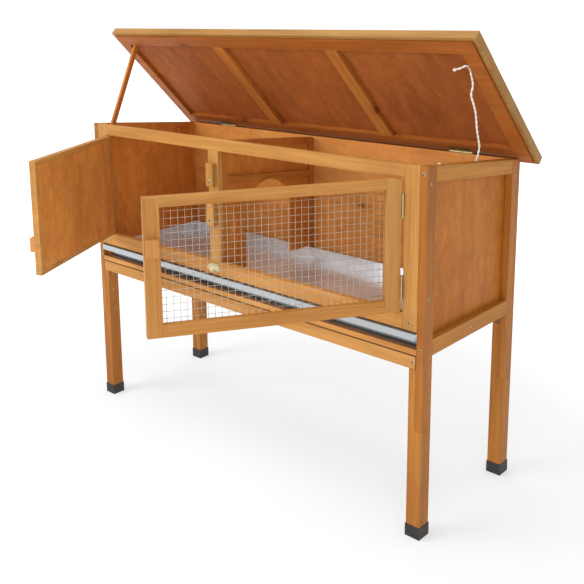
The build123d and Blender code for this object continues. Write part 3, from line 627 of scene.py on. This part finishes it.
def sill_plate():
    """Bare oval plate with a raised rim and two pins."""
    verts = [v.co for v in frame["nodes"]["sill_plate"].data.vertices]
    low, high = (Vector(tuple(pick(v[i] for v in verts) for i in range(3))) for pick in (min, max))
    middle = (low + high) / 2
    wide, tall = (high.x - low.x) / 2, (high.z - low.z) / 2
    bm = bmesh.new()
    rings = []
    for share, rise in PLATE_PROFILE[:-1]:
        rings.append([
            bm.verts.new((middle.x + wide * share * math.cos(t), high.y - rise * MM, middle.z + tall * share * math.sin(t)))
            for t in (2 * math.pi * k / 48 for k in range(48))
        ])
    for a, b in zip(rings, rings[1:]):
        for k in range(48):
            bm.faces.new((a[k], a[(k + 1) % 48], b[(k + 1) % 48], b[k]))
    peak = bm.verts.new((middle.x, high.y - PLATE_PROFILE[-1][1] * MM, middle.z))
    for k in range(48):
        bm.faces.new((rings[-1][k], rings[-1][(k + 1) % 48], peak))
    plate = link("oval_plate", smooth_mesh(bm, "oval_plate"), "plate", "root")
    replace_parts(plate, "sill_plate")
    pins = [(Vector((middle.x + side * wide * PLATE_PIN_SHARE, high.y - 0.85 * MM, middle.z)), Vector((0, -1, 0)))
            for side in (-1, 1)]
    screws("plate_pins", pins, "root", 1.7 * MM, 0.7 * MM)


FELT_NAIL_IN = 14.0 * MM
FELT_NAIL_STEP = 95.0 * MM


def felt_nails():
    """Flat clout nails round the felt's edge."""
    felt = frame["nodes"]["lid_felt"].data
    verts = [v.co for v in felt.vertices]
    up = max((f for f in felt.polygons if f.normal.z > 0), key=lambda f: f.area).normal.copy()
    forward = up.cross(Vector((1, 0, 0))).normalized()
    reach = [v.dot(forward) for v in verts]
    rise = max(v.dot(up) for v in verts)
    half = max(v.x for v in verts) - FELT_NAIL_IN
    near, far = min(reach) + FELT_NAIL_IN, max(reach) - FELT_NAIL_IN
    across = round(2 * half / FELT_NAIL_STEP)
    down = round((far - near) / FELT_NAIL_STEP)
    spots = [(-half + 2 * half * k / across, v) for k in range(across + 1) for v in (near, far)]
    spots += [(x, near + (far - near) * k / down) for k in range(1, down) for x in (-half, half)]
    places = [(Vector((x, 0, 0)) + forward * v + up * rise, up) for x, v in spots]
    screws("felt_nails", places, "lid", 4.5 * MM, 0.6 * MM)


# Wire net
NET_PITCH = 15.0 * MM
WIRE_R = 0.5 * MM


def tube(bm, points, radius, sides=8, closed=False):
    """Round tube through points."""
    rings = []
    count = len(points)
    up = Vector((0, 0, 1))
    for i, p in enumerate(points):
        before = points[i - 1] if i or closed else p
        after = points[(i + 1) % count] if i < count - 1 or closed else p
        along = (after - before).normalized()
        side = along.cross(up)
        if side.length < 0.1:
            side = along.cross(Vector((1, 0, 0)))
        side.normalize()
        up = side.cross(along).normalized()
        rings.append([
            bm.verts.new(p + (side * math.cos(t) + up * math.sin(t)) * radius)
            for t in (2 * math.pi * k / sides for k in range(sides))
        ])
    pairs = list(zip(rings, rings[1:])) + ([(rings[-1], rings[0])] if closed else [])
    for low, high in pairs:
        for k in range(sides):
            bm.faces.new((low[k], low[(k + 1) % sides], high[(k + 1) % sides], high[k]))
    if not closed:
        bm.faces.new(list(reversed(rings[0])))
        bm.faces.new(rings[-1])


def smooth_mesh(bm, name):
    bmesh.ops.recalc_face_normals(bm, faces=bm.faces)
    mesh = bpy.data.meshes.new(name)
    bm.to_mesh(mesh)
    bm.free()
    mesh.shade_smooth()
    return mesh


def door_frame():
    """The open net door's pin and its two level directions: along the door and through it."""
    joint = joints["mesh_door_hinge"]
    angle = -math.radians(joint["range_deg"][0])
    turn = Matrix.Rotation(angle, 3, "Z")
    return Vector(joint["pos_m"]), turn @ Vector((-1, 0, 0)), turn @ Vector((0, 1, 0))


def wire_net():
    """Welded net: upright wires behind, level wires in front."""
    pin, along, through = door_frame()
    verts = [v.co - pin for v in frame["nodes"]["wire_net"].data.vertices]
    low = min(v.dot(along) for v in verts)
    high = max(v.dot(along) for v in verts)
    deep = sum(v.dot(through) for v in verts) / len(verts)
    bottom, top = (pick(v.z for v in verts) for pick in (min, max))
    rng = random.Random(5)
    bm = bmesh.new()
    columns = round((high - low - 2 * WIRE_R) / NET_PITCH)
    rows = round((top - bottom - 2 * WIRE_R) / NET_PITCH)
    for i in range(columns + 1):
        a = low + WIRE_R + (high - low - 2 * WIRE_R) * i / columns
        a += rng.uniform(-0.4, 0.4) * MM * (0 < i < columns)
        line = [pin + along * (a + rng.uniform(-0.15, 0.15) * MM) + through * (deep + WIRE_R * 0.8) + Vector((0, 0, z))
                for z in (bottom + (top - bottom) * k / 8 for k in range(9))]
        tube(bm, line, WIRE_R, 6)
    for k in range(rows + 1):
        z = bottom + WIRE_R + (top - bottom - 2 * WIRE_R) * k / rows
        z += rng.uniform(-0.4, 0.4) * MM * (0 < k < rows)
        line = [pin + along * a + through * (deep - WIRE_R * 0.8) + Vector((0, 0, z + rng.uniform(-0.15, 0.15) * MM))
                for a in (low + (high - low) * i / 12 for i in range(13))]
        tube(bm, line, WIRE_R, 6)
    net = link("welded_net", smooth_mesh(bm, "welded_net"), "wire", "mesh_door")
    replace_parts(net, "wire_net")


# Cord
STRAND_R = 1.3 * MM
STRAND_OUT = 1.2 * MM
TWIST_PITCH = 26.0 * MM
KNOT_R = 2.3 * MM
CORD_ROUTE = [
    (0.5360, 0.1893, 1.0647),
    (0.5455, 0.1884, 1.0665),
    (0.5555, 0.1896, 1.0705),
    (0.5637, 0.1945, 1.0763),
    (0.5648, 0.2073, 1.0650),
    (0.5632, 0.2134, 1.0550),
    (0.5610, 0.2263, 1.0379),
    (0.5595, 0.2309, 1.0230),
    (0.5580, 0.2244, 1.0072),
    (0.5560, 0.2411, 0.9869),
    (0.5540, 0.2573, 0.9643),
    (0.5520, 0.2663, 0.9397),
    (0.5505, 0.2724, 0.9200),
    (0.5490, 0.2848, 0.8946),
    (0.5480, 0.2922, 0.8793),
    (0.5475, 0.2896, 0.8650),
    (0.5470, 0.2820, 0.8486),
    (0.5465, 0.2643, 0.8260),
    (0.5465, 0.2363, 0.8080),
    (0.5470, 0.2024, 0.8020),
    (0.5475, 0.1704, 0.8070),
    (0.5485, 0.1423, 0.8190),
    (0.5496, 0.1224, 0.8370),
    (0.5500, 0.1138, 0.8490),
    (0.5500, 0.1134, 0.8624),
]


def route_line():
    """Points along the cord's smooth line."""
    curve = bpy.data.curves.new("cord_line", "CURVE")
    curve.dimensions = "3D"
    curve.resolution_u = 16
    spline = curve.splines.new("NURBS")
    spline.points.add(len(CORD_ROUTE) - 1)
    for point, place in zip(spline.points, CORD_ROUTE):
        point.co = (*place, 1.0)
    spline.order_u = 3
    spline.use_endpoint_u = True
    holder = bpy.data.objects.new("cord_line", curve)
    mesh = bpy.data.meshes.new_from_object(holder)
    points = [v.co.copy() for v in mesh.vertices]
    bpy.data.objects.remove(holder)
    bpy.data.curves.remove(curve)
    bpy.data.meshes.remove(mesh)
    return points


def strand(bm, line, phase):
    """One strand wound round the line."""
    travelled = 0.0
    points = []
    up = Vector((0, 1, 0))
    for i, p in enumerate(line):
        if i:
            travelled += (p - line[i - 1]).length
        along = (line[min(i + 1, len(line) - 1)] - line[max(i - 1, 0)]).normalized()
        side = along.cross(up).normalized()
        up = side.cross(along).normalized()
        angle = phase + 2 * math.pi * travelled / TWIST_PITCH
        points.append(p + (side * math.cos(angle) + up * math.sin(angle)) * STRAND_OUT)
    tube(bm, points, STRAND_R, 8)


def knot(name, at, along, body):
    """Small overhand knot: a trefoil of cord drawn tight."""
    axis = along.normalized()
    side = axis.orthogonal().normalized()
    other = axis.cross(side)
    points = []
    for k in range(48):
        t = 2 * math.pi * k / 48
        x = math.sin(t) + 2 * math.sin(2 * t)
        y = math.cos(t) - 2 * math.cos(2 * t)
        z = -math.sin(3 * t)
        points.append(at + (side * x * 0.72 + other * y * 0.72 + axis * z * 1.15) * MM)
    bm = bmesh.new()
    tube(bm, points, KNOT_R, 10, closed=True)
    return link(name, smooth_mesh(bm, name), "cord", body)


def stay_cord():
    """Twisted cord from the wall eye up to the lid eye, with a knotted tail."""
    line = list(reversed(route_line()))
    bm = bmesh.new()
    for phase in (0.0, math.pi):
        strand(bm, line, phase)
    mesh = smooth_mesh(bm, "twisted_cord")
    mesh.materials.append(materials["cord"])
    cord = bpy.data.objects.new("twisted_cord", mesh)
    bpy.context.scene.collection.objects.link(cord)
    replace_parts(cord, "stay_cord")
    knots = [knot("cord_wall_knot", line[0], line[0] - line[1], "root"),
             knot("cord_tail_knot", line[-1], line[-1] - line[-2], "lid")]
    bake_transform(cord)


# Floor, light and camera
def stage():
    g = Graph("floor")
    grit = g.noise(g.add("TexCoord", out=3), 40.0, 3.0)
    surface = g.add("BsdfDiffuse", {"Color": g.mix(g.span(grit, 0.3, 0.7, 0.0, 0.04), (1, 1, 1), (0.9, 0.9, 0.9))})
    away = g.add("VectorMath", {0: g.add("TexCoord", out=3)}, out=1, operation="LENGTH")
    soft = g.add("BsdfDiffuse", {"Color": (0.54, 0.54, 0.54)})
    glow = g.add("Emission", {"Color": (1, 1, 1), "Strength": g.span(away, 1.0, 2.6, 0.43, 1.02)})
    seen = g.add("AddShader", {0: soft, 1: glow})
    path = g.tree.nodes.new("ShaderNodeLightPath")
    direct = g.math("MAXIMUM", path.outputs["Is Camera Ray"], path.outputs["Is Glossy Ray"])
    direct = g.math("MAXIMUM", direct, path.outputs["Is Transmission Ray"])
    both = g.add("MixShader", {0: direct, 1: surface, 2: seen})
    g.tree.links.new(both, g.output.inputs["Surface"])
    size = 14.0
    bm = bmesh.new()
    bmesh.ops.create_grid(bm, x_segments=8, y_segments=8, size=size)
    mesh = bpy.data.meshes.new("floor")
    bm.to_mesh(mesh)
    bm.free()
    floor = bpy.data.objects.new("floor", mesh)
    bpy.context.scene.collection.objects.link(floor)
    mesh.materials.append(g.material)


def world():
    w = bpy.data.worlds.new("studio")
    bpy.context.scene.world = w
    w.use_nodes = True
    tree = w.node_tree
    tree.nodes.clear()
    out = tree.nodes.new("ShaderNodeOutputWorld")
    lit, seen = (tree.nodes.new("ShaderNodeBackground") for _ in range(2))
    lit.inputs["Color"].default_value = (0.93, 0.96, 1.0, 1)
    lit.inputs["Strength"].default_value = 0.72
    seen.inputs["Color"].default_value = (1, 1, 1, 1)
    seen.inputs["Strength"].default_value = 1.02
    mix = tree.nodes.new("ShaderNodeMixShader")
    path = tree.nodes.new("ShaderNodeLightPath")
    most = tree.nodes.new("ShaderNodeMath")
    most.operation = "MAXIMUM"
    tree.links.new(path.outputs["Is Camera Ray"], most.inputs[0])
    tree.links.new(path.outputs["Is Transmission Ray"], most.inputs[1])
    tree.links.new(most.outputs[0], mix.inputs[0])
    tree.links.new(lit.outputs[0], mix.inputs[1])
    tree.links.new(seen.outputs[0], mix.inputs[2])
    tree.links.new(mix.outputs[0], out.inputs[0])


def lamp(name, place, target, size, power, colour=(1, 1, 1)):
    data = bpy.data.lights.new(name, "AREA")
    data.shape = "RECTANGLE"
    data.size, data.size_y = size
    data.energy = power
    data.color = colour
    obj = bpy.data.objects.new(name, data)
    bpy.context.scene.collection.objects.link(obj)
    obj.location = place
    obj.rotation_euler = (Vector(target) - Vector(place)).to_track_quat("-Z", "Y").to_euler()


def lamps():
    middle = (0.0, 0.2, 0.7)
    lamp("key", (-2.0, -3.3, 2.6), middle, (2.4, 2.4), 90.0, (1.0, 0.98, 0.95))
    lamp("top", (-0.2, 0.2, 4.2), middle, (3.0, 3.0), 60.0)
    lamp("fill", (2.6, -2.6, 1.5), (-0.3, 0.2, 0.7), (2.0, 2.0), 29.0, (1.0, 0.92, 0.8))


def camera():
    forward = Vector((-math.sin(YAW) * math.cos(PITCH), math.cos(YAW) * math.cos(PITCH), math.sin(PITCH)))
    right = Vector((math.cos(YAW), math.sin(YAW), 0))
    up = right.cross(forward)
    tilted_right = right * math.cos(ROLL) + up * math.sin(ROLL)
    tilted_up = up * math.cos(ROLL) - right * math.sin(ROLL)
    data = bpy.data.cameras.new("camera")
    data.sensor_width = SENSOR_MM
    data.lens = FOCAL_PX / IMAGE * SENSOR_MM
    data.shift_x = (IMAGE / 2 - CENTRE_PX[0]) / IMAGE
    data.shift_y = (CENTRE_PX[1] - IMAGE / 2) / IMAGE
    data.clip_end = 60.0
    obj = bpy.data.objects.new("camera", data)
    bpy.context.scene.collection.objects.link(obj)
    turn = Matrix((tilted_right, tilted_up, -forward)).transposed()
    place = Vector((CAMERA_X, joints["lid_hinge"]["pos_m"][1] + CAMERA_Y_TO_LID_PIN, CAMERA_Z))
    obj.matrix_world = Matrix.Translation(place) @ turn.to_4x4()
    bpy.context.scene.camera = obj


camera()
stay_cord()
dress_timber()
dress_plain_nodes()
wire_net()
frame_screws()
pivot_screws()
for node in ("door_hinge_frame_leaves", "mesh_door_leaves", "left_door_leaves", "lid_hinge_wall_leaves",
             "lid_hinge_lid_leaves"):
    leaf_screws(node)
tray_ears()
sill_plate()
felt_nails()
stage()
world()
lamps()
bpy.context.scene.view_settings.view_transform = "Standard"
